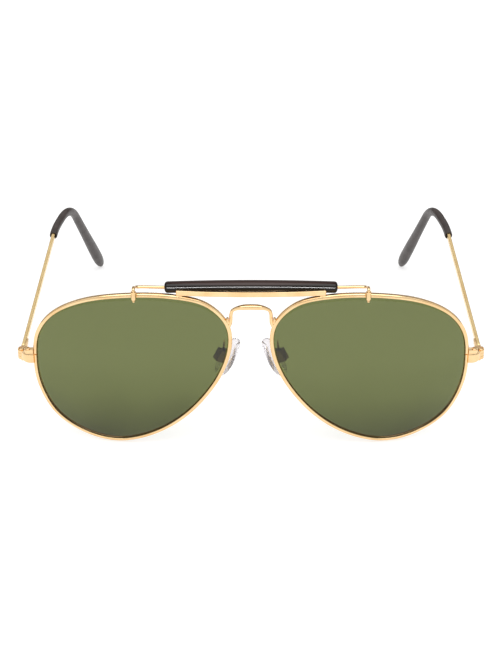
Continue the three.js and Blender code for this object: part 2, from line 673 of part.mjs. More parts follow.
function makePadScrew() {
  return inPadFrame(screw(PAD_SHANK, PAD_BOX[1], PAD_HEAD)
    .rotateX(-Math.PI / 2)
    .translate(0, PAD_BOX[1] / 2 + 0.05, PAD_PIVOT));
}

function makePadArm() {
  const { along, out } = padDirections();
  const top = vector(...PAD_CENTRE).addScaledVector(out, PAD_PIVOT)
    .addScaledVector(along, PAD_BOX[0] / 2 + GAP);
  return wire(throughPoints([...PAD_ARM_PATH, top.toArray()], 22), PAD_ARM_RADIUS);
}

// ---------------------------------------------------------------- assembly

const front = new THREE.Group();

function add(name, geometry, finish) {
  const mesh = new THREE.Mesh(geometry, new THREE.MeshStandardMaterial(FINISHES[finish]));
  mesh.name = name;
  front.add(mesh);
}

function addPair(name, geometry, finish) {
  add(`${name}_left`, geometry, finish);
  add(`${name}_right`, mirrored(geometry), finish);
}

add('brow_bar', makeBrowBar(), 'gold');
add('brow_pad', makeBrowPad(), 'black_gloss');
add('brow_wire', makeBrowWire(), 'gold');
add('bridge', makeBridge(), 'gold');

addPair('rim', makeRim(), 'gold');
addPair('lens', makeLens(), 'green_lens');
addPair('brow_clip', makeBrowClip(), 'gold');
addPair('end_piece', makeEndPiece(), 'gold');
addPair('closing_block', makeClosingBlock(), 'gold');
addPair('closing_screw', makeClosingScrew(), 'gold');
addPair('hinge_front', makeHingeFront(), 'gold');
addPair('hinge_rear', makeHingeRear(), 'gold');
addPair('hinge_screw', makeHingeScrew(), 'gold');
addPair('temple', makeTemple(), 'gold');
addPair('temple_tip', makeTempleTip(), 'dark_tip');
addPair('pad_arm', makePadArm(), 'gold');
addPair('pad_box', makePadBox(), 'gold');
addPair('pad_screw', makePadScrew(), 'gold');
addPair('pad_core', makePadCore(), 'gold');
addPair('nose_pad', makeNosePad(), 'clear_pad');

front.rotation.x = radians(LEAN);
const group = new THREE.Group();
group.add(front);
group.updateMatrixWorld(true);
const box = new THREE.Box3().setFromObject(group, true);
front.position.set(0, -(box.min.y + box.max.y) / 2, -box.min.z);

export default group;
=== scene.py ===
"""Gold-wire aviator sunglasses with a brow bar, standing open on a pale floor.

Shapes are built in the front frame, in millimetres: +X to the wearer's left, +Y back and +Z up
along the front. TO_ROW leans them with the front and takes them to the row frame, in metres.
"""

import json
import math

import bmesh
import bpy
from mathutils import Matrix, Vector


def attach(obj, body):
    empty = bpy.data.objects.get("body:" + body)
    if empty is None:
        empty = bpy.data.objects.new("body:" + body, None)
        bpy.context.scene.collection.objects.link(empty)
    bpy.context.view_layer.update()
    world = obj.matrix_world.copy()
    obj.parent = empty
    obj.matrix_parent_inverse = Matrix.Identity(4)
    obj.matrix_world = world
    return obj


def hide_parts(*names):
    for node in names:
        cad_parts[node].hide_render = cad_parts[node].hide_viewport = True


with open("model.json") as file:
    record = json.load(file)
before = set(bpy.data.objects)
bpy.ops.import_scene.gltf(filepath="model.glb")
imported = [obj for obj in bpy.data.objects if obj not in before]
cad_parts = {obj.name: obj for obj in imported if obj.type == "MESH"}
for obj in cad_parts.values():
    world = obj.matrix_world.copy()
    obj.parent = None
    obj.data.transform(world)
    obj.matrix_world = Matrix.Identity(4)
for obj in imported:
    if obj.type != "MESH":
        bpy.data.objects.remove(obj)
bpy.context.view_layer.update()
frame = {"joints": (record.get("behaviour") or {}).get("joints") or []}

# ---------------------------------------------------------------- driving dimensions (mm, degrees)

LEAN = 5.5

LENS_OUTLINE = [
    (30.0, 3.0), (28.5, 11.4), (23.0, 18.4), (13.3, 23.3),
    (0.5, 25.6), (-12.0, 25.4), (-22.2, 22.65), (-28.5, 15.95),
    (-29.2, 7.4), (-25.2, -3.0), (-16.85, -14.0), (-6.8, -21.85),
    (4.5, -26.0), (14.9, -24.45), (24.15, -18.05), (29.0, -7.8),
]
LENS_CENTRE = (37.0, 27.9)
LENS_RADIUS = 95.0
LENS_WRAP = 5.0
LENS_HALF = 0.5  # half the lens thickness at its edge
LENS_PLAY = 0.04
LENS_CHAMFER = (0.12, 0.06)  # across the face and down the edge
RIDGE_PLAY = (0.1, 0.08)  # room round the lens ridge in the groove's depth and width

RIM_FACE = 1.3
RIM_HALF_DEPTH = 1.0
GROOVE_DEPTH = 0.55
GROOVE_HALF = 0.45
RIM_SPLIT = 0.4
RIM_STATIONS = 360
RIM_CORNERS = (0.14, 0.62, 0.5, 0.12)  # rounding: inner front, outer front, outer back, inner back
GROOVE_ROUNDING = (0.05, 0.08)  # at the groove's mouth and at its bottom

TUBE_HALF = 26.3
TUBE_RADIUS = 1.8
TUBE_SWELL = 0.1
TUBE_MIDDLE = (4.85, 56.6)
TUBE_BOW = (0.85, -0.9)
TUBE_ROUNDING = 0.95
BROW_WIRE_RADIUS = 0.5
BROW_BORE_RADIUS = 0.62
BROW_WIRE_REACH = 35.6
BROW_WIRE_FRONT = 1.58

BAR_HALF = 22.75
BAR_MIDDLE = (2.15, 55.3)
BAR_BOW = (0.85, 0.1)
BAR_HEIGHT = 1.7
BAR_THICKNESS = 1.1
BAR_ROUNDING = 0.22
BAR_END_BEVEL = 0.16

CLIP_BOTTOM = 52.75
CLIP_SEAT = 1.8
CLIP_PROFILE = [
    (0.06, 0.0), (0.2, 0.03), (0.33, 0.1), (0.43, 0.22), (0.46, 0.34), (0.43, 0.46), (0.38, 0.53),
    (0.4, 0.6), (0.54, 0.72), (0.71, 0.92), (0.79, 1.15), (0.82, 1.4), (0.82, 3.15), (0.85, 3.25),
    (0.85, 3.6), (0.81, 3.74), (0.72, 3.8), (0.54, 3.8), (0.54, 2.6),
]

BRIDGE_PATH = [
    (0, 2.8, 50.45), (2.4, 2.85, 50.3), (4.35, 2.95, 49.85), (5.65, 3.0, 49.05),
    (6.08, 3.0, 47.8), (6.16, 3.05, 46.2), (6.3, 3.1, 44.5), (6.75, 3.2, 43.3),
]
BRIDGE_RADIUS = 0.92
BRIDGE_LEG_RADIUS = 0.55
BRIDGE_TAPER = (1.5, 6.5)  # distances from the saddle's middle between which the wire thins

HINGE = (72.0, 11.5, 28.5)
HINGE_HEIGHT = 3.2
KNUCKLE_RADIUS = 1.2
KNUCKLE_MIDDLE = 1.04
KNUCKLE_PLAY = 0.06
HINGE_PLATE_FRONT = 9.6
HINGE_PLATE = 0.5

LUG_PATH = [
    (67.7, 7.45, 29.4, 1.75, 0.95), (68.9, 7.5, 29.4, 1.75, 1.0), (69.7, 7.6, 29.5, 1.6, 1.0),
    (70.3, 7.95, 29.65, 1.3, 0.95), (70.6, 8.7, 29.75, 1.05, 0.85), (70.65, 9.65, 29.75, 1.0, 0.8),
]
SEAM_Z = 31.0
CLOSING_AT = (69.55, 7.7)
CLOSING_HEIGHT = 1.3
SEAM_PLAY = 0.06
SCREW_SLOT = (0.26, 0.45)  # width in mm, and depth as a share of the head's height

TEMPLE_HEIGHT = 1.9
TEMPLE_THICKNESS = 1.1
CORE_HEIGHT = 1.5
CORE_THICKNESS = 0.9
TEMPLE_ROUNDING = 0.3
CORE_ROUNDING = 0.25
TEMPLE_START = (71.75, 14.5, 28.9)
TEMPLE_INWARD = 2.8
TEMPLE_RISE = 1.2
SLEEVE_FROM = 70.6
KINK_FROM = 71.6
KINK_LENGTH = 9.0
KINK_ANGLE = 9.7
EAR_FROM = 82.8
EAR_RADIUS = 20.4
EAR_ANGLE = 52.6
TEMPLE_LENGTH = 147.0
SLEEVE_PROFILE = [
    (0, 2.3, 2.2), (0.35, 2.7, 2.6), (1.2, 2.85, 2.7), (14, 2.9, 2.75), (31, 3.0, 2.85), (46, 3.5, 3.1),
    (59, 4.1, 3.6), (68, 4.35, 3.7), (72.6, 3.75, 3.2), (75.2, 2.6, 2.3), (76.1, 1.3, 1.2),
]
SLEEVE_LIP = 0.3  # rounding of the sleeve's mouth
SLEEVE_PLAY = (0.12, 0.22)  # room over and beside the wire at the mouth
TIP_DOME = 8.0
TIP_BLUNTNESS = 0.82  # 1 makes the dome a half ellipse, less makes it blunter

PAD_CENTRE = (7.3, 9.8, 28.2)
PAD_SPLAY = 25.0
PAD_TILT = 31.0
PAD_LENGTH = 13.5
PAD_WIDTH = 6.4
PAD_THICKNESS = 2.6
PAD_PIVOT = -2.9
PAD_BOX = (3.8, 2.7)
PAD_ARM_RADIUS = 0.42
PAD_ARM_PATH = [
    (7.2, 1.8, 46.2), (7.2, 3.3, 46.1), (7.2, 4.9, 45.1), (7.3, 6.2, 43.0),
    (7.45, 7.2, 40.4), (7.7, 8.0, 37.6), (8.2, 8.6, 35.0),
]

CAMERA_AT = (0.0, -0.60843, 0.30235)  # metres, row frame
CAMERA_DOWN = 25.89  # degrees below the horizon
CAMERA_LENS = 105.82
CAMERA_SHIFT = -1 / 664  # of the view's longer side

SHARP = 34.0  # edges that turn less than this are shaded smooth
BEVEL_ANGLE = 32.0  # edges that turn more than this are rounded
WELD = 2e-7  # metres

# ---------------------------------------------------------------- placing

UP = Vector((0, 0, 1))
X_AXIS = Vector((1, 0, 0))
Y_AXIS = Vector((0, 1, 0))
lean = Matrix.Rotation(math.radians(LEAN), 4, "X")
scale = Matrix.Scale(0.001, 4)
fold_left = next(j for j in frame["joints"] if j["name"] == "temple_fold_left")
shift = Vector(fold_left["pos_m"]) - (scale @ lean) @ Vector(HINGE)
TO_ROW = Matrix.Translation(shift) @ scale @ lean


def collect(name, shells):
    """One mesh object in front-frame millimetres from (points, faces) shells, not yet in the scene."""
    mesh = bpy.data.meshes.new(name)
    points, faces = [], []
    for shell_points, shell_faces in shells:
        start = len(points)
        points.extend(shell_points)
        faces.extend([tuple(start + i for i in face) for face in shell_faces])
    mesh.from_pydata([tuple(p) for p in points], [], faces)
    mesh.validate()
    return bpy.data.objects.new(name, mesh)


def baked(obj, modifiers):
    """The object's mesh with modifiers applied; modifiers is a list of (kind, settings)."""
    bpy.context.scene.collection.objects.link(obj)
    for kind, settings in modifiers:
        modifier = obj.modifiers.new(kind, kind)
        for key, value in settings.items():
            setattr(modifier, key, value)
    bpy.context.view_layer.update()
    evaluated = obj.evaluated_get(bpy.context.evaluated_depsgraph_get())
    mesh = bpy.data.meshes.new_from_object(evaluated)
    bpy.data.objects.remove(obj)
    return mesh


def solid(first, *steps, bevel=0.0, segments=3):
    """A shell made from the first one by ("UNION" or "DIFFERENCE", shell) steps, with rounded edges."""
    tools = []
    modifiers = []
    for operation, shell in steps:
        tool = collect("tool", [shell])
        bpy.context.scene.collection.objects.link(tool)
        tools.append(tool)
        modifiers.append(("BOOLEAN", {"operation": operation, "object": tool, "solver": "EXACT"}))
    if bevel:
        modifiers.append(("BEVEL", {
            "width": bevel, "segments": segments, "limit_method": "ANGLE",
            "angle_limit": math.radians(BEVEL_ANGLE), "use_clamp_overlap": True,
        }))
    mesh = baked(collect("solid", [first]), modifiers)
    for tool in tools:
        bpy.data.objects.remove(tool)
    shell = ([v.co.copy() for v in mesh.vertices], [tuple(p.vertices) for p in mesh.polygons])
    bpy.data.meshes.remove(mesh)
    return shell


def mirrored(shell):
    """The shell's mirror image in X = 0."""
    points, faces = shell
    return [Vector((-p.x, p.y, p.z)) for p in points], [tuple(reversed(face)) for face in faces]


def mirrored_path(points):
    """The path's mirror image in X = 0, run the other way, so that the path can follow it."""
    return [Vector((-p.x, p.y, p.z)) for p in reversed(points)]


def piece(name, shells, body, material, stands_for=(), sharp=SHARP):
    """Puts shells into the scene as one smooth-shaded piece on a body."""
    obj = collect(name, shells)
    mesh = obj.data
    mesh.transform(TO_ROW)
    work = bmesh.new()
    work.from_mesh(mesh)
    bmesh.ops.remove_doubles(work, verts=work.verts, dist=WELD)
    for face in work.faces:
        face.smooth = True
    for edge in work.edges:
        if len(edge.link_faces) == 2:
            edge.smooth = edge.calc_face_angle(0.0) < math.radians(sharp)
    work.to_mesh(mesh)
    work.free()
    mesh.materials.append(material)
    bpy.context.scene.collection.objects.link(obj)
    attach(obj, body)
    if stands_for:
        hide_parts(*stands_for)
    return obj


BODIES = {
    "front": ("front", "front"),
    "temple": ("left_temple", "right_temple"),
    "pad": ("left_pad", "right_pad"),
}


def pair(name, shells, body, material, node=None, sharp=SHARP):
    """A left piece and its mirror image; node is the CAD pair that they stand for."""
    for side, group, made in (
        ("left", BODIES[body][0], shells),
        ("right", BODIES[body][1], [mirrored(shell) for shell in shells]),
    ):
        stands_for = [f"{node}_{side}"] if node else []
        piece(f"{name}_{side}", made, group, material, stands_for, sharp)


# ---------------------------------------------------------------- sections and skins


def spaced(low, high, steps):
    """steps + 1 numbers at equal distances from low to high."""
    return [low + (high - low) * k / steps for k in range(steps + 1)]


def rounded(corners, steps=5):
    """A closed section from (p, q, radius) corners, each turned into an arc."""
    section = []
    count = len(corners)
    for i, (p, q, radius) in enumerate(corners):
        here = Vector((p, q))
        before = (Vector(corners[i - 1][:2]) - here).normalized()
        after = (Vector(corners[(i + 1) % count][:2]) - here).normalized()
        half = before.angle(after) / 2
        reach = radius / math.tan(half)
        centre = here + (before + after).normalized() * (radius / math.sin(half))
        start = here + before * reach - centre
        end = here + after * reach - centre
        turn = math.atan2(start.x * end.y - start.y * end.x, start.dot(end))
        for k in range(steps + 1):
            angle = turn * k / steps
            c, s = math.cos(angle), math.sin(angle)
            section.append((centre.x + start.x * c - start.y * s, centre.y + start.x * s + start.y * c))
    return section


def box_section(height, width, radius, steps=5):
    """A rectangle with rounded corners."""
    h, w = height / 2, width / 2
    return rounded([(h, -w, radius), (h, w, radius), (-h, w, radius), (-h, -w, radius)], steps)


def oval(half_a, half_b, sides):
    """An ellipse as (p, q) pairs."""
    return [(half_a * math.cos(t), half_b * math.sin(t))
            for t in (2 * math.pi * k / sides for k in range(sides))]


def ring(at, a, b, section):
    """The section's points in space, with p along a and q along b."""
    return [at + a * p + b * q for p, q in section]


def skin(rings, loop=False):
    """A closed shell over rings of points; unless they form a loop, a fan to its middle closes each end."""
    count = len(rings[0])
    points = [p for r in rings for p in r]
    faces = []
    bands = len(rings) if loop else len(rings) - 1
    for band in range(bands):
        here, there = band * count, ((band + 1) % len(rings)) * count
        for k in range(count):
            n = (k + 1) % count
            faces.append((here + k, here + n, there + n, there + k))

    def fan(start, outwards):
        points.append(sum((points[start + k] for k in range(count)), Vector()) / count)
        middle = len(points) - 1
        for k in range(count):
            edge = (start + k, start + (k + 1) % count)
            faces.append((*(edge if outwards else edge[::-1]), middle))

    if not loop:
        fan(0, False)
        fan((len(rings) - 1) * count, True)
    return points, faces


def frames_along(points, up=UP, carried=False):
    """(point, a, b) at each point, square to the path; a stays near up, or is carried on without twist."""
    result = []
    a = None
    for i, at in enumerate(points):
        travel = (points[min(i + 1, len(points) - 1)] - points[max(i - 1, 0)]).normalized()
        guide = a if carried and a is not None else up
        a = (guide - travel * guide.dot(travel)).normalized()
        result.append((at, a, travel.cross(a)))
    return result


def spline(points, steps):
    """Evenly spaced points on a centripetal Catmull-Rom curve through the given ones."""
    given = [Vector(p) for p in points]
    ends = [given[0] * 2 - given[1], *given, given[-1] * 2 - given[-2]]
    fine = []
    per = 24
    for i in range(1, len(ends) - 2):
        p0, p1, p2, p3 = ends[i - 1:i + 3]
        t0 = 0.0
        t1 = t0 + max((p1 - p0).length, 1e-6) ** 0.5
        t2 = t1 + max((p2 - p1).length, 1e-6) ** 0.5
        t3 = t2 + max((p3 - p2).length, 1e-6) ** 0.5
        for k in range(per + (i == len(ends) - 3)):
            t = t1 + (t2 - t1) * k / per
            a1 = p0 * ((t1 - t) / (t1 - t0)) + p1 * ((t - t0) / (t1 - t0))
            a2 = p1 * ((t2 - t) / (t2 - t1)) + p2 * ((t - t1) / (t2 - t1))
            a3 = p2 * ((t3 - t) / (t3 - t2)) + p3 * ((t - t2) / (t3 - t2))
            b1 = a1 * ((t2 - t) / (t2 - t0)) + a2 * ((t - t0) / (t2 - t0))
            b2 = a2 * ((t3 - t) / (t3 - t1)) + a3 * ((t - t1) / (t3 - t1))
            fine.append(b1 * ((t2 - t) / (t2 - t1)) + b2 * ((t - t1) / (t2 - t1)))
    return evenly(fine, steps)


def evenly(fine, steps, closed=False):
    """steps + 1 points (or steps, on a closed path) at equal distances along a fine polyline."""
    path = fine + [fine[0]] if closed else fine
    lengths = [0.0]
    for before, after in zip(path, path[1:]):
        lengths.append(lengths[-1] + (after - before).length)
    result = []
    i = 0
    for k in range(steps if closed else steps + 1):
        wanted = lengths[-1] * k / steps
        while i < len(lengths) - 2 and lengths[i + 1] < wanted:
            i += 1
        share = (wanted - lengths[i]) / max(lengths[i + 1] - lengths[i], 1e-9)
        result.append(path[i].lerp(path[i + 1], min(max(share, 0.0), 1.0)))
    return result


def lathe(profile, at=(0, 0, 0), sides=48, axis=UP):
    """Turned about a line through at from (radius, height) pairs; both ends are closed by fans."""
    a = X_AXIS if abs(axis.x) < 0.9 else Y_AXIS
    a = (a - axis * a.dot(axis)).normalized()
    b = axis.cross(a)
    rings = []
    for radius, height in profile:
        rings.append(ring(Vector(at) + axis * height, a, b, oval(radius, radius, sides)))
    return skin(rings)


def cylinder(x, y, low, high, radius, sides=48):
    """An upright cylinder between two heights."""
    return lathe([(radius, low), (radius, high)], (x, y, 0), sides)


def block(low, high):
    """A box between its lowest and highest corners."""
    x0, y0, z0 = low
    x1, y1, z1 = high
    points = [Vector((x, y, z)) for z in (z0, z1) for x, y in ((x0, y0), (x1, y0), (x1, y1), (x0, y1))]
    faces = [(0, 3, 2, 1), (4, 5, 6, 7), (0, 1, 5, 4), (1, 2, 6, 5), (2, 3, 7, 6), (3, 0, 4, 7)]
    return points, faces


def moved(shell, matrix):
    return [matrix @ p for p in shell[0]], shell[1]


def domed_wire(path, radius, dome, sides, up):
    """A round wire with domed ends; dome is how long each dome is."""
    frames = frames_along(path, up, carried=True)
    rings = [ring(*station, oval(radius, radius, sides)) for station in frames]
    for index, way in ((0, -1), (-1, 1)):
        at, a, b = frames[index]
        travel = a.cross(b) * way
        cap = []
        for share in (0.25, 0.5, 0.75, 0.93):
            angle = share * math.pi / 2
            size = radius * math.cos(angle)
            cap.append(ring(at + travel * (dome * math.sin(angle)), a, b, oval(size, size, sides)))
        rings = [*reversed(cap), *rings] if way < 0 else [*rings, *cap]
    return skin(rings)


def bead(path, radius, up=UP):
    """Solder left at a joint: a rounded ridge along a path that tapers away at both ends."""
    steps, sides, narrowest = 14, 16, 0.02
    rings = []
    for i, (at, a, b) in enumerate(frames_along(spline(path, steps), up, carried=True)):
        share = abs(2 * i / steps - 1)
        size = radius * math.sqrt(max(1 - share ** 2.4, narrowest))
        rings.append(ring(at, a, b, oval(size, size, sides)))
    return skin(rings)


def slotted_screw(shank, length, head, height):
    """Along +Z, the underside of the head at 0: a domed head with a slot."""
    profile = [
        (shank * 0.7, -length), (shank, -length + 0.15), (shank, 0.0), (head * 0.96, 0.0), (head, 0.04),
        (head, height * 0.45), (head * 0.96, height * 0.68), (head * 0.85, height * 0.86),
        (head * 0.6, height * 0.96), (head * 0.3, height),
    ]
    width, depth = SCREW_SLOT
    cut = block((-head - 1, -width / 2, height * (1 - depth)), (head + 1, width / 2, height + 1))
    return solid(lathe(profile), ("DIFFERENCE", cut), bevel=0.025, segments=2)


# ---------------------------------------------------------------- lens surface and outline


def lens_surface(u, w, d=0.0):
    """The point at u across and w up the lens sphere, d behind it, and the direction back there."""
    drop = math.sqrt(LENS_RADIUS ** 2 - u * u - w * w)
    back = Vector((-u, drop, -w)) / LENS_RADIUS
    turn = Matrix.Rotation(math.radians(LENS_WRAP), 3, "Z")
    local = Vector((u, LENS_RADIUS - drop, w)) + back * d
    return turn @ local + Vector((LENS_CENTRE[0], 0, LENS_CENTRE[1])), turn @ back


def outline_points(steps):
    """Points at equal distances round the lens outline, in u and w."""
    count = len(LENS_OUTLINE)
    fine = []
    per_span = 60
    for i in range(count):
        p0, p1, p2, p3 = (Vector(LENS_OUTLINE[(i + k) % count]) for k in (-1, 0, 1, 2))
        for k in range(per_span):
            t = k / per_span
            fine.append(0.5 * (2 * p1 + (p2 - p0) * t + (2 * p0 - 5 * p1 + 4 * p2 - p3) * t * t
                               + (3 * p1 - p0 - 3 * p2 + p3) * t ** 3))
    return evenly(fine, steps, closed=True)


OUTLINE = outline_points(RIM_STATIONS)


def rim_frame(index):
    """(point, outwards, backwards) on the outline at a station."""
    here = OUTLINE[index % RIM_STATIONS]
    along = (OUTLINE[(index + 1) % RIM_STATIONS] - OUTLINE[index - 1]).normalized()
    step = 0.01
    at, back = lens_surface(here.x, here.y)
    near, _ = lens_surface(here.x + along.y * step, here.y - along.x * step)
    return at, (near - at).normalized(), back


def rim_section():
    """The rim's section, from the lens outwards and from front to back, with the lens groove."""
    depth = RIM_HALF_DEPTH
    inner_front, outer_front, outer_back, inner_back = RIM_CORNERS
    mouth, bottom = GROOVE_ROUNDING
    return rounded([
        (0, -depth, inner_front), (RIM_FACE, -depth, outer_front),
        (RIM_FACE, depth, outer_back), (0, depth, inner_back),
        (0, GROOVE_HALF, mouth), (GROOVE_DEPTH, 0, bottom), (0, -GROOVE_HALF, mouth),
    ])


def make_rim():
    """The rim, split at station 0, where the closing blocks hold it together."""
    section = rim_section()
    rings = [ring(*rim_frame(i), section) for i in range(RIM_STATIONS)]
    at, a, b = rim_frame(0)
    travel = a.cross(b)
    half_gap = RIM_SPLIT / 2
    first = ring(at + travel * half_gap, a, b, section)
    last = ring(at - travel * half_gap, a, b, section)
    return skin([first, *rings[1:], last])


def make_lens():
    """Curved glass: two faces, a chamfered edge and the ridge that sits in the rim's groove."""
    half, play = LENS_HALF, LENS_PLAY
    inset, drop = LENS_CHAMFER
    ridge_out = GROOVE_DEPTH - RIDGE_PLAY[0]
    ridge_half = GROOVE_HALF - RIDGE_PLAY[1]
    tip_half = 0.04
    shares = [0.04, 0.15, 0.3, 0.45, 0.6, 0.72, 0.83, 0.91, 0.96]

    def edge(out, depth):
        return [at + a * out + b * depth for at, a, b in map(rim_frame, range(RIM_STATIONS))]

    def face(share, depth):
        return [lens_surface(p.x * share, p.y * share, depth)[0] for p in OUTLINE]

    return skin([
        *[face(share, half) for share in shares],
        edge(-inset - play, half), edge(-play, half - drop), edge(-play, ridge_half),
        edge(ridge_out, tip_half), edge(ridge_out, -tip_half),
        edge(-play, -ridge_half), edge(-play, drop - half), edge(-inset - play, -half),
        *[face(share, -half) for share in reversed(shares)],
    ])


# ---------------------------------------------------------------- front pieces


def bowed(x, half, middle, bow):
    """A point on a shallow parabola: middle is its (y, z) at x = 0, bow is how far that moves by half."""
    share = (x / half) ** 2
    return Vector((x, middle[0] + bow[0] * share, middle[1] + bow[1] * share))


def tube_point(x):
    return bowed(x, TUBE_HALF, TUBE_MIDDLE, TUBE_BOW)


def make_brow_pad():
    """The sweat bar's tube: its outside, rounded at both ends, joined to its bore."""
    sides = 64
    ends = []
    for angle in spaced(0, math.pi / 2, 8):
        inset = TUBE_ROUNDING * (1 - math.sin(angle))
        ends.append((TUBE_HALF - inset, TUBE_ROUNDING * (1 - math.cos(angle))))
    inner = TUBE_HALF - TUBE_ROUNDING - 0.6
    straight = [(x, 0.0) for x in spaced(-inner, inner, 60)]
    stations = [*[(-x, cut) for x, cut in reversed(ends)], *straight, *ends]
    outer = []
    for (x, cut), (at, a, b) in zip(stations, frames_along([tube_point(x) for x, _ in stations])):
        radius = TUBE_RADIUS + TUBE_SWELL * (1 - (x / TUBE_HALF) ** 2) - cut
        outer.append(ring(at, a, b, oval(radius, radius, sides)))
    mouth = TUBE_HALF - 0.15
    bore_xs = [-TUBE_HALF, -mouth, *spaced(-25, 25, 40), mouth, TUBE_HALF]
    section = oval(BROW_BORE_RADIUS, BROW_BORE_RADIUS, sides)
    bore = [ring(at, a, b, section) for at, a, b in frames_along([tube_point(x) for x in bore_xs])]
    return skin([*outer, *reversed(bore)], loop=True)


def make_brow_wire():
    """The wire through the tube, bent forwards at both ends and hooked down into the ferrules."""
    end = tube_point(TUBE_HALF)
    y, z = end.y, end.z
    reach, face = BROW_WIRE_REACH, BROW_WIRE_FRONT
    hook = spline([
        (TUBE_HALF + 2, y + 0.05, z), (reach - 2.2, y + 0.1, z + 0.1), (reach - 0.7, y - 0.3, z + 0.25),
        (reach - 0.1, y - 1.6, z + 0.9), (reach, face + 1.05, z + 1.5), (reach, face + 0.3, z + 1.45),
        (reach, face, z + 0.95), (reach, face, CLIP_BOTTOM + CLIP_SEAT),
    ], 70)
    inside = [tube_point(x) for x in spaced(-TUBE_HALF, TUBE_HALF, 60)]
    frames = frames_along([*mirrored_path(hook), *inside, *hook], carried=True)
    section = oval(BROW_WIRE_RADIUS, BROW_WIRE_RADIUS, 28)
    return skin([ring(at, a, b, section) for at, a, b in frames])


def make_brow_clip():
    """The turned ferrule on the rim's front that takes the brow wire's end."""
    return lathe(CLIP_PROFILE, (BROW_WIRE_REACH, BROW_WIRE_FRONT, CLIP_BOTTOM), 40)


def make_brow_bar():
    """The flat bar across the tops of the rims, with bevelled ends."""
    bevel = BAR_END_BEVEL
    whole = box_section(BAR_HEIGHT, BAR_THICKNESS, BAR_ROUNDING)
    end = box_section(BAR_HEIGHT - 2 * bevel, BAR_THICKNESS - 2 * bevel, 0.12)
    frames = frames_along([bowed(x, BAR_HALF, BAR_MIDDLE, BAR_BOW) for x in spaced(-BAR_HALF, BAR_HALF, 90)])
    rings = [ring(at, a, b, whole) for at, a, b in frames]
    for index, way in ((0, -1), (-1, 1)):
        at, a, b = frames[index]
        rings[index] = ring(at, a, b, end)
        inner = ring(at - X_AXIS * way * bevel, a, b, whole)
        rings.insert(1 if way < 0 else len(rings) - 1, inner)
    return skin(rings)


def with_solder(shell, *beads):
    """The shell joined with its solder beads."""
    return solid(shell, *[("UNION", made) for made in beads])


def both_sides(shell):
    return [shell, mirrored(shell)]


def smoothstep(value, low, high):
    t = min(max((value - low) / (high - low), 0.0), 1.0)
    return t * t * (3 - 2 * t)


def make_bridge():
    """The saddle between the rims, whose wire thins down its legs."""
    flattening = 0.98
    half = spline(BRIDGE_PATH, 60)
    saddle = BRIDGE_PATH[0][2]
    rings = []
    for at, a, b in frames_along([*mirrored_path(half[1:]), *half], Y_AXIS):
        share = smoothstep(abs(at.x) + saddle - at.z, *BRIDGE_TAPER)
        radius = BRIDGE_RADIUS + (BRIDGE_LEG_RADIUS - BRIDGE_RADIUS) * share
        rings.append(ring(at, a, b, oval(radius, radius * flattening, 36)))
    return skin(rings)


# ---------------------------------------------------------------- closure and hinge


def make_end_piece():
    """The lug that runs back from the rim to the hinge, cut flat at the seam of the closure."""
    finer = spline([(x, y, z) for x, y, z, _, _ in LUG_PATH], 24)
    sizes = spline([(x, half_height, half_depth) for x, _, _, half_height, half_depth in LUG_PATH], 24)
    rings = []
    for (at, a, b), size in zip(frames_along(finer), sizes):
        rings.append(ring(at, a, b, box_section(2 * size.y, 2 * size.z, 0.7, 6)))
    x, y = CLOSING_AT
    above = block((x - 4, y - 4, SEAM_Z - SEAM_PLAY), (x + 4, y + 4, SEAM_Z + 3))
    return solid(skin(rings), ("DIFFERENCE", above), bevel=0.09)


def prism(outline, low, high):
    """An upright prism over an anticlockwise outline of (x, y)."""
    count = len(outline)
    points = [Vector((x, y, z)) for z in (low, high) for x, y in outline]
    faces = [tuple(reversed(range(count))), tuple(range(count, 2 * count))]
    for k in range(count):
        n = (k + 1) % count
        faces.append((k, n, count + n, count + k))
    return points, faces


def make_closing_block():
    """The upper half of the rim's closure: square towards the rim, round outside."""
    x, y = CLOSING_AT
    inner, outer, half_depth = x - 1.75, x + 1.08, 0.95
    square, round_ = 0.05, 0.8
    outline = rounded([
        (inner, y - half_depth, square), (outer, y - half_depth, round_),
        (outer, y + half_depth, round_), (inner, y + half_depth, square),
    ], 10)
    return solid(prism(outline, SEAM_Z + SEAM_PLAY, SEAM_Z + 0.1 + CLOSING_HEIGHT), bevel=0.12)


HX, HY, HZ = HINGE
HINGE_LOW = HZ - HINGE_HEIGHT / 2
HINGE_HIGH = HZ + HINGE_HEIGHT / 2


def make_hinge_front():
    """The outer two knuckles on their plate, with the slot for the temple's knuckle."""
    front = HINGE_PLATE_FRONT
    plate = block((HX - 1.6, front, HINGE_LOW), (HX, front + HINGE_PLATE, HINGE_HIGH))
    web = block((HX - 1.05, front, HINGE_LOW), (HX, HY - 0.3, HINGE_HIGH))
    slot = KNUCKLE_MIDDLE / 2 + KNUCKLE_PLAY
    gap = cylinder(HX, HY, HZ - slot, HZ + slot, KNUCKLE_RADIUS + 0.15, 64)
    barrel = cylinder(HX, HY, HINGE_LOW, HINGE_HIGH, KNUCKLE_RADIUS, 64)
    return solid(barrel, ("UNION", plate), ("UNION", web), ("DIFFERENCE", gap), bevel=0.07)


def make_hinge_rear():
    """The middle knuckle, its neck, and the tongue along the temple's inner side."""
    half = KNUCKLE_MIDDLE / 2
    tx, ty, tz = TEMPLE_START
    back = HY + 1.5
    inner = tx - TEMPLE_THICKNESS / 2 - 0.02
    knuckle = cylinder(HX, HY, HZ - half, HZ + half, KNUCKLE_RADIUS, 64)
    neck = block((HX - 0.75, HY, HZ - half), (HX + 0.3, ty, HZ + half))
    root = block((HX - 0.8, back, tz - 0.85), (HX + 0.35, ty, tz + 0.85))
    tongue = block((inner - 0.72, back, tz - 0.7), (inner, ty + 4, tz + 0.7))
    return solid(knuckle, ("UNION", neck), ("UNION", root), ("UNION", tongue), bevel=0.08)


# ---------------------------------------------------------------- temples


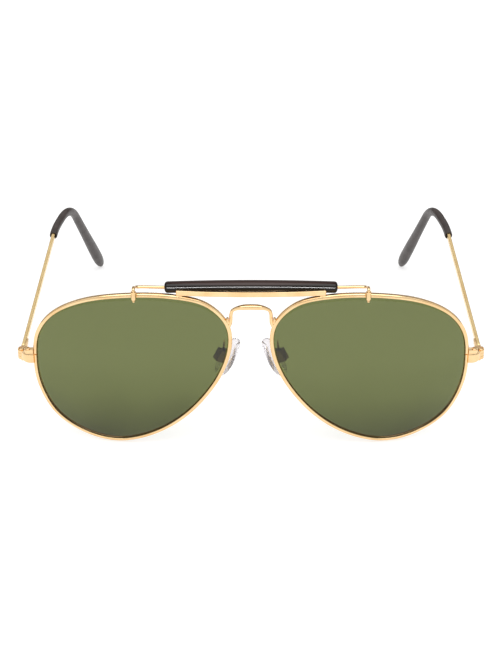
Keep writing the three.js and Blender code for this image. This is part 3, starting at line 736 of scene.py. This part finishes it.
def temple_frame(s):
    """(point, up, across) at a length along the temple.

    The path is straight, bends inwards, runs straight again, bends down behind the ear and ends straight.
    """
    inwards = Matrix.Rotation(math.radians(TEMPLE_INWARD), 3, "Z")
    turn = inwards @ Matrix.Rotation(math.radians(TEMPLE_RISE), 3, "X")
    travel = turn @ Y_AXIS
    up = turn @ UP
    at = Vector(TEMPLE_START)
    ear_length = EAR_RADIUS * math.radians(EAR_ANGLE)
    parts = [
        (0.0, KINK_FROM, None, 0.0),
        (KINK_FROM, KINK_LENGTH, "up", KINK_ANGLE),
        (KINK_FROM + KINK_LENGTH, EAR_FROM - KINK_FROM - KINK_LENGTH, None, 0.0),
        (EAR_FROM, ear_length, "across", EAR_ANGLE),
        (EAR_FROM + ear_length, 1000.0, None, 0.0),
    ]
    for start, length, around, angle in parts:
        done = min(max(s - start, 0.0), length)
        if around is None or done <= 0:
            at = at + travel * done
            continue
        axis = up.copy() if around == "up" else up.cross(travel)
        turned = math.radians(angle) * done / length
        radius = length / math.radians(angle)
        half = Matrix.Rotation(turned / 2, 3, axis)
        at = at + (half @ travel) * (2 * radius * math.sin(turned / 2))
        whole = Matrix.Rotation(turned, 3, axis)
        travel = whole @ travel
        up = whole @ up
    return at, up, travel.cross(up)


def temple_stations(start, end, size):
    """Lengths along the temple about size apart."""
    return spaced(start, end, max(1, round((end - start) / size)))


def make_temple():
    """The flat temple wire, bevelled at its front end, and the start of its thinner core."""
    chamfer, bevel = 0.16, 0.12
    rings = []
    for s in [0.0, 0.06, chamfer, *temple_stations(0.3, SLEEVE_FROM + 3, 1.5)]:
        cut = bevel * (1 - min(s / chamfer, 1.0))
        section = box_section(TEMPLE_HEIGHT - 2 * cut, TEMPLE_THICKNESS - 2 * cut, TEMPLE_ROUNDING)
        rings.append(ring(*temple_frame(s), section))
    for s in (SLEEVE_FROM + 3.3, SLEEVE_FROM + 4):
        rings.append(ring(*temple_frame(s), box_section(CORE_HEIGHT, CORE_THICKNESS, CORE_ROUNDING)))
    return skin(rings)


def sleeve_size(distance):
    """The sleeve's height and width at a distance from its mouth."""
    for before, after in zip(SLEEVE_PROFILE, SLEEVE_PROFILE[1:]):
        if distance <= after[0]:
            break
    share = min(max((distance - before[0]) / (after[0] - before[0]), 0.0), 1.0)
    return [before[k] + (after[k] - before[k]) * share for k in (1, 2)]


def make_temple_tip():
    """The plastic sleeve: a rounded mouth, a swelling body and a domed end, joined to its bore."""
    sides = 40
    start = SLEEVE_FROM
    body_end = TEMPLE_LENGTH - TIP_DOME
    stations = []
    for angle in spaced(0, math.pi / 2, 6):
        stations.append((start + SLEEVE_LIP * (1 - math.cos(angle)), -SLEEVE_LIP * (1 - math.sin(angle))))
    stations += [(s, 0.0) for s in temple_stations(start + 0.7, body_end, 0.9)]
    rings = []
    for s, grow in stations:
        height, width = sleeve_size(max(s - start, 1.0))
        rings.append(ring(*temple_frame(s), oval(height / 2 + grow, width / 2 + grow, sides)))
    height, width = sleeve_size(body_end - start)
    for angle in spaced(0, math.pi / 2, 17)[1:-1]:
        share = math.cos(angle) ** TIP_BLUNTNESS
        at = body_end + TIP_DOME * math.sin(angle)
        rings.append(ring(*temple_frame(at), oval(height / 2 * share, width / 2 * share, sides)))
    mouth_height = TEMPLE_HEIGHT / 2 + SLEEVE_PLAY[0]
    mouth_width = TEMPLE_THICKNESS / 2 + SLEEVE_PLAY[1]
    bore = []
    for s, grow in ((start, 0.16), (start + 0.12, 0.05), (start + 0.35, 0.0), (start + 3.0, 0.0)):
        bore.append(ring(*temple_frame(s), oval(mouth_height + grow, mouth_width + grow, sides)))
    return skin([*reversed(bore), *rings])


# ---------------------------------------------------------------- nose pads


def pad_axes():
    """The pad's own axes: along it, across it and out of its contact face."""
    splay, tilt = math.radians(PAD_SPLAY), math.radians(PAD_TILT)
    level = Vector((-math.cos(splay), math.sin(splay), 0))
    along = UP * math.cos(tilt) + level * math.sin(tilt)
    across = Vector((math.sin(splay), math.cos(splay), 0))
    out = level * math.cos(tilt) - UP * math.sin(tilt)
    return along, across, out


def pad_matrix():
    along, across, out = pad_axes()
    matrix = Matrix((along, across, out)).transposed().to_4x4()
    matrix.translation = Vector(PAD_CENTRE)
    return matrix


PAD_FRAME = pad_matrix()
PAD_BACK = -PAD_THICKNESS / 2


def in_pad_frame(shell):
    return moved(shell, PAD_FRAME)


def pad_ring(height, section):
    return ring(UP * height, X_AXIS, Y_AXIS, section)


def pad_outline(inset, sides=72):
    """A drop-shaped oval, narrower at the top, shrunk by inset."""
    taper = 0.14
    section = []
    for k in range(sides):
        angle = 2 * math.pi * k / sides
        narrowing = 1 - taper * math.cos(angle)
        p = (PAD_LENGTH / 2 - inset) * math.cos(angle)
        q = (PAD_WIDTH / 2 * narrowing - inset) * math.sin(angle)
        section.append((p, q))
    return section


def make_nose_pad():
    """The clear pad: a cushion-shaped drop with a flat contact face."""
    half = PAD_THICKNESS / 2
    rings = [pad_ring(-half, pad_outline(inset)) for inset in (3.2, 2.6, 1.9, 1.3)]
    for angle in spaced(0, math.pi, 14)[1:-1]:
        inset = 0.95 * (1 - math.sin(angle)) + 0.02
        rings.append(pad_ring(-half * math.cos(angle), pad_outline(inset)))
    rings += [pad_ring(half, pad_outline(inset)) for inset in (1.1, 1.6, 2.4, 3.2)]
    return in_pad_frame(skin(rings))


def make_pad_core():
    """The metal foot in the pad's back, with the tab that the pad screw goes through."""
    tab_half, tab_half_width = 0.4, 0.9
    levels = [(0.1, 0.2), (0.2, 0.0), (0.72, 0.0), (0.82, 0.2)]
    foot = [pad_ring(PAD_BACK + height, box_section(4.2 - cut, 2.8 - cut, 0.7)) for height, cut in levels]
    tab = block((-tab_half_width, -tab_half, PAD_PIVOT), (tab_half_width, tab_half, PAD_BACK + 0.5))
    heel = lathe([(tab_half_width, -tab_half), (tab_half_width, tab_half)], (0, 0, PAD_PIVOT), 40, Y_AXIS)
    return in_pad_frame(solid(skin(foot), ("UNION", tab), ("UNION", heel), bevel=0.05))


def make_pad_box():
    """The box that the tab rocks in, open along its length."""
    length, width = PAD_BOX
    front, back = PAD_BACK - 0.42, PAD_PIVOT - 1.35
    body = block((-length / 2, -width / 2, back), (length / 2, width / 2, front))
    slot = block((-length, -0.5, back + 0.35), (length, 0.5, front + 1))
    return in_pad_frame(solid(body, ("DIFFERENCE", slot), bevel=0.13))


def make_pad_screw():
    """The screw across the pad box."""
    turn = Matrix.Translation((0, PAD_BOX[1] / 2, PAD_PIVOT)) @ Matrix.Rotation(-math.pi / 2, 4, "X")
    return in_pad_frame(moved(slotted_screw(0.4, PAD_BOX[1], 0.75, 0.4), turn))


def make_pad_arm():
    """The wire from the back of the rim to the top of the pad box."""
    along, _, out = pad_axes()
    top = Vector(PAD_CENTRE) + out * PAD_PIVOT + along * (PAD_BOX[0] / 2)
    return domed_wire(spline([*PAD_ARM_PATH, tuple(top)], 90), PAD_ARM_RADIUS, 0.22, 24, X_AXIS)


# ---------------------------------------------------------------- materials

GRAIN_DEPTH = 0.00002  # metres

LENS_SHADOW = (0.42, 0.46, 0.27)
# Lens tints by height: the darker low end is painted shade of the floor's shadow behind the lens.
LENS_PAINTED_SHADE_TINTS = [
    (0.50, (0.040, 0.046, 0.003)), (0.62, (0.070, 0.083, 0.015)), (0.80, (0.112, 0.131, 0.033)),
    (1.0, (0.131, 0.152, 0.044)),
]
LENS_FADE = 16.0  # the tints' positions per metre of height
PAD_SHADOW = (0.85, 0.84, 0.86)
PAD_TINTS = [(0.3, (0.86, 0.83, 0.86)), (0.7, (0.93, 0.91, 0.93))]
# Painted reflection and shade on the tube: brown where it faces up, near black where it faces down.
TUBE_PAINTED_LIGHT_TINTS = [
    (0.34, (0.0016, 0.0008, 0.0004)), (0.52, (0.004, 0.0022, 0.0015)), (0.66, (0.018, 0.010, 0.0085)),
    (0.95, (0.024, 0.014, 0.012)),
]
TUBE_END_SHADE = 0.34  # how much less the ends face up than the middle, to the tints of painted reflection and shade


def new_material(name):
    """(material, node tree, shader) for a new material."""
    material = bpy.data.materials.new(name)
    material.use_nodes = True
    tree = material.node_tree
    return material, tree, tree.nodes["Principled BSDF"]


def node(tree, kind, **settings):
    made = tree.nodes.new(kind)
    for key, value in settings.items():
        setattr(made, key, value)
    return made


def feed(tree, source, socket):
    """Links a source to a socket, or sets the socket when the source is a number."""
    if isinstance(source, float):
        socket.default_value = source
    else:
        tree.links.new(source, socket)


def multiply_add(tree, value, factor, addend):
    """value * factor + addend, from sockets or numbers."""
    made = node(tree, "ShaderNodeMath", operation="MULTIPLY_ADD")
    for source, socket in zip((value, factor, addend), made.inputs):
        feed(tree, source, socket)
    return made.outputs[0]


def part_of(tree, vector, axis):
    """One coordinate of a vector."""
    split = node(tree, "ShaderNodeSeparateXYZ")
    tree.links.new(vector, split.inputs[0])
    return split.outputs[axis]


def place_of(tree, kind="Object"):
    """The shaded point's coordinates."""
    return node(tree, "ShaderNodeTexCoord").outputs[kind]


def ramp(tree, source, stops):
    """A colour ramp over (position, colour or grey) stops."""
    made = tree.nodes.new("ShaderNodeValToRGB")
    elements = made.color_ramp.elements
    while len(elements) < len(stops):
        elements.new(0.5)
    for element, (position, colour) in zip(elements, stops):
        element.position = position
        element.color = (*colour, 1.0) if isinstance(colour, tuple) else (colour, colour, colour, 1.0)
    tree.links.new(source, made.inputs["Fac"])
    return made.outputs["Color"]


def noise(tree, size, detail=3.0, roughness=0.55, stretch=(1.0, 1.0, 1.0)):
    """Noise whose features are about size metres, in the piece's own coordinates."""
    mapping = node(tree, "ShaderNodeMapping")
    mapping.inputs["Scale"].default_value = stretch
    tree.links.new(place_of(tree), mapping.inputs["Vector"])
    made = node(tree, "ShaderNodeTexNoise")
    made.inputs["Scale"].default_value = 1.0 / size
    made.inputs["Detail"].default_value = detail
    made.inputs["Roughness"].default_value = roughness
    tree.links.new(mapping.outputs["Vector"], made.inputs["Vector"])
    return made.outputs["Fac"]


def bump(tree, shader, source, strength):
    """Fine relief from a height source."""
    made = node(tree, "ShaderNodeBump")
    made.inputs["Strength"].default_value = strength
    made.inputs["Distance"].default_value = GRAIN_DEPTH
    tree.links.new(source, made.inputs["Height"])
    tree.links.new(made.outputs["Normal"], shader.inputs["Normal"])


def colour_shadow(tree, shader, colour):
    """Lets light through to the floor, tinted, instead of the dark shadow of solid glass."""
    rays = node(tree, "ShaderNodeLightPath")
    clear = node(tree, "ShaderNodeBsdfTransparent")
    clear.inputs["Color"].default_value = (*colour, 1.0)
    mix = node(tree, "ShaderNodeMixShader")
    tree.links.new(rays.outputs["Is Shadow Ray"], mix.inputs[0])
    tree.links.new(shader.outputs[0], mix.inputs[1])
    tree.links.new(clear.outputs[0], mix.inputs[2])
    tree.links.new(mix.outputs[0], tree.nodes["Material Output"].inputs["Surface"])


def gold_material(name, base, deep, low_rough, high_rough, grain):
    """Plated wire: an uneven tone, rubbed patches and a fine grain."""
    material, tree, shader = new_material(name)
    tone = noise(tree, 0.006, 4.0)
    tree.links.new(ramp(tree, tone, [(0.3, deep), (0.62, base)]), shader.inputs["Base Color"])
    rub = noise(tree, 0.0016, 5.0, 0.65)
    tree.links.new(ramp(tree, rub, [(0.35, low_rough), (0.75, high_rough)]), shader.inputs["Roughness"])
    shader.inputs["Metallic"].default_value = 1.0
    bump(tree, shader, noise(tree, 0.0005, 3.0, 0.6), grain)
    return material


def lens_material():
    """Green glass, darker towards the bottom with painted shade of the floor's shadow seen through it, with
    faint upright wipe marks.
    """
    material, tree, shader = new_material("green_glass")
    shader.inputs["Transmission Weight"].default_value = 1.0
    shader.inputs["IOR"].default_value = 1.5
    uneven = multiply_add(tree, noise(tree, 0.03, 1.0), 0.3, 0.35)
    # Height drives the tints: the lower glass is painted darker, as painted shade.
    height = multiply_add(tree, part_of(tree, place_of(tree), "Z"), LENS_FADE, uneven)
    tree.links.new(ramp(tree, height, LENS_PAINTED_SHADE_TINTS), shader.inputs["Base Color"])
    wipe = noise(tree, 0.004, 5.0, 0.7, (1.0, 1.0, 0.35))
    tree.links.new(ramp(tree, wipe, [(0.4, 0.0), (0.85, 0.03)]), shader.inputs["Roughness"])
    colour_shadow(tree, shader, LENS_SHADOW)
    return material


def clear_material():
    """Clear moulded plastic with a faint haze."""
    material, tree, shader = new_material("clear_pad_plastic")
    shader.inputs["Transmission Weight"].default_value = 0.86
    shader.inputs["IOR"].default_value = 1.2
    haze = noise(tree, 0.002, 3.0)
    tree.links.new(ramp(tree, haze, PAD_TINTS), shader.inputs["Base Color"])
    tree.links.new(ramp(tree, haze, [(0.35, 0.05), (0.8, 0.16)]), shader.inputs["Roughness"])
    colour_shadow(tree, shader, PAD_SHADOW)
    return material


def plastic_material(name, base, worn, low_rough, high_rough, grain):
    """Satin plastic with paler, duller worn patches."""
    material, tree, shader = new_material(name)
    tone = noise(tree, 0.004, 4.0)
    tree.links.new(ramp(tree, tone, [(0.35, base), (0.75, worn)]), shader.inputs["Base Color"])
    rub = noise(tree, 0.0025, 5.0, 0.65)
    tree.links.new(ramp(tree, rub, [(0.3, low_rough), (0.75, high_rough)]), shader.inputs["Roughness"])
    bump(tree, shader, noise(tree, 0.0003, 2.0), grain)
    return material


def tube_material():
    """Glossy black moulding with a painted reflection of the overhead light as satin brown on its upper side,
    most of all in its middle, and painted shade in black below.
    """
    material, tree, shader = new_material("black_tube_painted_sheen")
    # The upward-facing mask paints the overhead light's reflection in brown and the shade below in black.
    facing_up = part_of(tree, node(tree, "ShaderNodeNewGeometry").outputs["Normal"], "Z")
    uneven = multiply_add(tree, noise(tree, 0.004, 4.0), 0.08, facing_up)
    across = part_of(tree, place_of(tree), "X")
    squared = multiply_add(tree, across, across, 0.0)
    painted_light = multiply_add(tree, squared, -TUBE_END_SHADE / (TUBE_HALF / 1000) ** 2, uneven)
    tree.links.new(ramp(tree, painted_light, TUBE_PAINTED_LIGHT_TINTS), shader.inputs["Base Color"])
    tree.links.new(ramp(tree, painted_light, [(0.4, 0.07), (0.7, 0.22)]), shader.inputs["Roughness"])
    shader.inputs["Specular IOR Level"].default_value = 0.28
    bump(tree, shader, noise(tree, 0.0006, 3.0), 0.04)
    return material


GOLD = gold_material("polished_gold", (0.91, 0.65, 0.36), (0.81, 0.54, 0.265), 0.10, 0.20, 0.10)
GOLD_WIRE = gold_material("drawn_gold_wire", (0.94, 0.71, 0.35), (0.85, 0.60, 0.27), 0.22, 0.34, 0.18)
# The fittings' gold is far darker than the rest: painted shade for the pad hardware that sits in shadow
# behind the lenses.
FITTING = gold_material("fittings_painted_shade", (0.30, 0.20, 0.11), (0.20, 0.13, 0.07), 0.25, 0.40, 0.18)
LENS = lens_material()
CLEAR = clear_material()
TUBE = tube_material()
TIP = plastic_material("dark_tip_plastic", (0.024, 0.016, 0.014), (0.044, 0.032, 0.029), 0.34, 0.48, 0.25)

# ---------------------------------------------------------------- building

bar_solder = bead([(20.9, 2.85, 54.12), (21.8, 2.9, 54.26), (22.65, 2.95, 54.38)], 0.38)
leg_solder = bead([(7.15, 3.05, 45.75), (7.05, 3.1, 44.9), (6.9, 3.15, 44.0)], 0.5, Y_AXIS)
clip_path = [(BROW_WIRE_REACH, y, z) for y, z in ((2.4, 53.3), (2.55, 54.0), (2.6, 54.7))]
clip_solder = bead(clip_path, 0.4, X_AXIS)
brow_bar = with_solder(make_brow_bar(), *both_sides(bar_solder))
bridge = with_solder(make_bridge(), *both_sides(leg_solder))
brow_clip = with_solder(make_brow_clip(), clip_solder)
closing_screw = moved(
    slotted_screw(0.4, 3.4, 0.78, 0.45),
    Matrix.Translation((*CLOSING_AT, SEAM_Z + 0.12 + CLOSING_HEIGHT)) @ Matrix.Rotation(0.6, 4, "Z"),
)
hinge_screw = moved(
    slotted_screw(0.6, HINGE_HEIGHT - 0.05, 1.0, 0.5),
    Matrix.Translation((HX, HY, HINGE_HIGH + 0.02)) @ Matrix.Rotation(-0.4, 4, "Z"),
)

pair("rim", [make_rim()], "front", GOLD, "rim")
pair("lens", [make_lens()], "front", LENS, "lens", sharp=60.0)
piece("brow_bar", [brow_bar], "front", GOLD, ["brow_bar"])
piece("brow_tube", [make_brow_pad()], "front", TUBE, ["brow_pad"])
piece("brow_wire", [make_brow_wire()], "front", GOLD, ["brow_wire"])
piece("bridge", [bridge], "front", GOLD, ["bridge"])
pair("brow_ferrule", [brow_clip], "front", GOLD, "brow_clip")
pair("end_piece", [make_end_piece()], "front", GOLD, "end_piece")
pair("closing_block", [make_closing_block()], "front", GOLD, "closing_block")
pair("closing_screw", [closing_screw], "front", GOLD, "closing_screw")
pair("hinge_front", [make_hinge_front()], "front", GOLD, "hinge_front")
pair("hinge_screw", [hinge_screw], "front", GOLD, "hinge_screw")
pair("hinge_rear", [make_hinge_rear()], "temple", GOLD, "hinge_rear")
pair("temple_wire", [make_temple()], "temple", GOLD_WIRE, "temple")
pair("temple_sleeve", [make_temple_tip()], "temple", TIP, "temple_tip")
pair("pad_arm", [make_pad_arm()], "front", GOLD, "pad_arm")
pair("pad_box", [make_pad_box()], "front", FITTING, "pad_box")
pair("pad_screw", [make_pad_screw()], "front", FITTING, "pad_screw")
pair("pad_core", [make_pad_core()], "pad", FITTING, "pad_core")
pair("nose_pad", [make_nose_pad()], "pad", CLEAR, "nose_pad")

# ---------------------------------------------------------------- stage, lights and camera

FLOOR_HALF = 2.5
FLOOR_DROP = 0.0002  # keeps the floor clear of what stands on it
FLOOR_GLOW = 0.6
SKY = [
    (0.0, (0.03, 0.018, 0.010)), (0.03, (0.60, 0.58, 0.56)), (0.25, (0.62, 0.60, 0.58)),
    (0.31, (0.66, 0.64, 0.62)), (0.39, (0.90, 0.90, 0.90)), (1.0, (0.92, 0.92, 0.92)),
]
SKY_LEAN = -0.25  # makes the sky brighter towards the front than towards the back
FLAG_HALF = 1.6
FLAG_FRONT, FLAG_BACK, FLAG_HEIGHT = 0.03, 0.6, 0.8
FLAG_TINTS = [(0.3, (0.010, 0.007, 0.005)), (0.7, (0.014, 0.010, 0.007))]
WHITE = (1.0, 1.0, 1.0, 1.0)


def flat_panel(name, corners):
    """One four-cornered face, and the (tree, shader) of its own new material."""
    mesh = bpy.data.meshes.new(name)
    mesh.from_pydata(corners, [], [(0, 1, 2, 3)])
    panel = bpy.data.objects.new(name, mesh)
    bpy.context.scene.collection.objects.link(panel)
    material, tree, shader = new_material(name)
    mesh.materials.append(material)
    return panel, tree, shader


def make_floor():
    half = FLOOR_HALF
    corners = [(-half, -half, 0), (half, -half, 0), (half, half, 0), (-half, half, 0)]
    floor, tree, shader = flat_panel("floor", corners)
    floor.location.z = -FLOOR_DROP
    tree.links.new(ramp(tree, noise(tree, 0.2, 2.0), [(0.3, 0.48), (0.7, 0.50)]), shader.inputs["Base Color"])
    shader.inputs["Emission Color"].default_value = WHITE
    shader.inputs["Emission Strength"].default_value = FLOOR_GLOW
    shader.inputs["Roughness"].default_value = 0.9
    shader.inputs["Specular IOR Level"].default_value = 0.1


def make_flag():
    """A dark card overhead that only shows in reflections."""
    corners = [
        (-FLAG_HALF, FLAG_FRONT, FLAG_HEIGHT), (FLAG_HALF, FLAG_FRONT, FLAG_HEIGHT),
        (FLAG_HALF, FLAG_BACK, FLAG_HEIGHT), (-FLAG_HALF, FLAG_BACK, FLAG_HEIGHT),
    ]
    card, tree, shader = flat_panel("overhead_flag", corners)
    tree.links.new(ramp(tree, noise(tree, 0.2), FLAG_TINTS), shader.inputs["Base Color"])
    shader.inputs["Roughness"].default_value = 1.0
    card.visible_camera = False
    card.visible_diffuse = False
    card.visible_shadow = False
    card.visible_transmission = False


def make_world():
    """A studio sky that is dark at the horizon and bright overhead, and plain white to the camera."""
    world = bpy.data.worlds.new("studio")
    bpy.context.scene.world = world
    world.use_nodes = True
    tree = world.node_tree
    background = tree.nodes["Background"]
    direction = node(tree, "ShaderNodeSeparateXYZ")
    tree.links.new(place_of(tree, "Generated"), direction.inputs[0])
    height = multiply_add(tree, direction.outputs["Y"], SKY_LEAN, direction.outputs["Z"])
    white = node(tree, "ShaderNodeMix", data_type="RGBA")
    tree.links.new(node(tree, "ShaderNodeLightPath").outputs["Is Camera Ray"], white.inputs["Factor"])
    tree.links.new(ramp(tree, height, SKY), white.inputs["A"])
    white.inputs["B"].default_value = WHITE
    tree.links.new(white.outputs["Result"], background.inputs["Color"])
    background.inputs["Strength"].default_value = 1.0


def make_light(name, at, target, size, watts, only=None):
    """A rectangular lamp aimed at target; only names the one piece that it lights."""
    data = bpy.data.lights.new(name, "AREA")
    data.shape = "RECTANGLE"
    data.size, data.size_y = size
    data.energy = watts
    light = bpy.data.objects.new(name, data)
    bpy.context.scene.collection.objects.link(light)
    light.location = at
    light.rotation_euler = (Vector(target) - Vector(at)).to_track_quat("-Z", "Y").to_euler()
    light.visible_camera = False
    if only:
        receivers = bpy.data.collections.new(name + "_receivers")
        receivers.objects.link(bpy.data.objects[only])
        light.light_linking.receiver_collection = receivers

make_floor()
make_flag()
make_world()
make_light("overhead", (0.0, -0.55, 1.1), (0, 0, 0), (1.4, 0.9), 8.0)
make_light("strip", (0.0, -1.2, 0.19), (0, -0.06, 0.056), (1.4, 0.06), 30.0, only="brow_tube")

camera_data = bpy.data.cameras.new("camera")
camera_data.lens = CAMERA_LENS
camera_data.sensor_width = 36.0
camera_data.shift_x = CAMERA_SHIFT
camera_data.clip_start = 0.01
camera = bpy.data.objects.new("camera", camera_data)
camera.location = CAMERA_AT
camera.rotation_euler = (math.radians(90 - CAMERA_DOWN), 0, 0)
bpy.context.scene.collection.objects.link(camera)
bpy.context.scene.camera = camera
bpy.context.scene.view_settings.view_transform = "Standard"
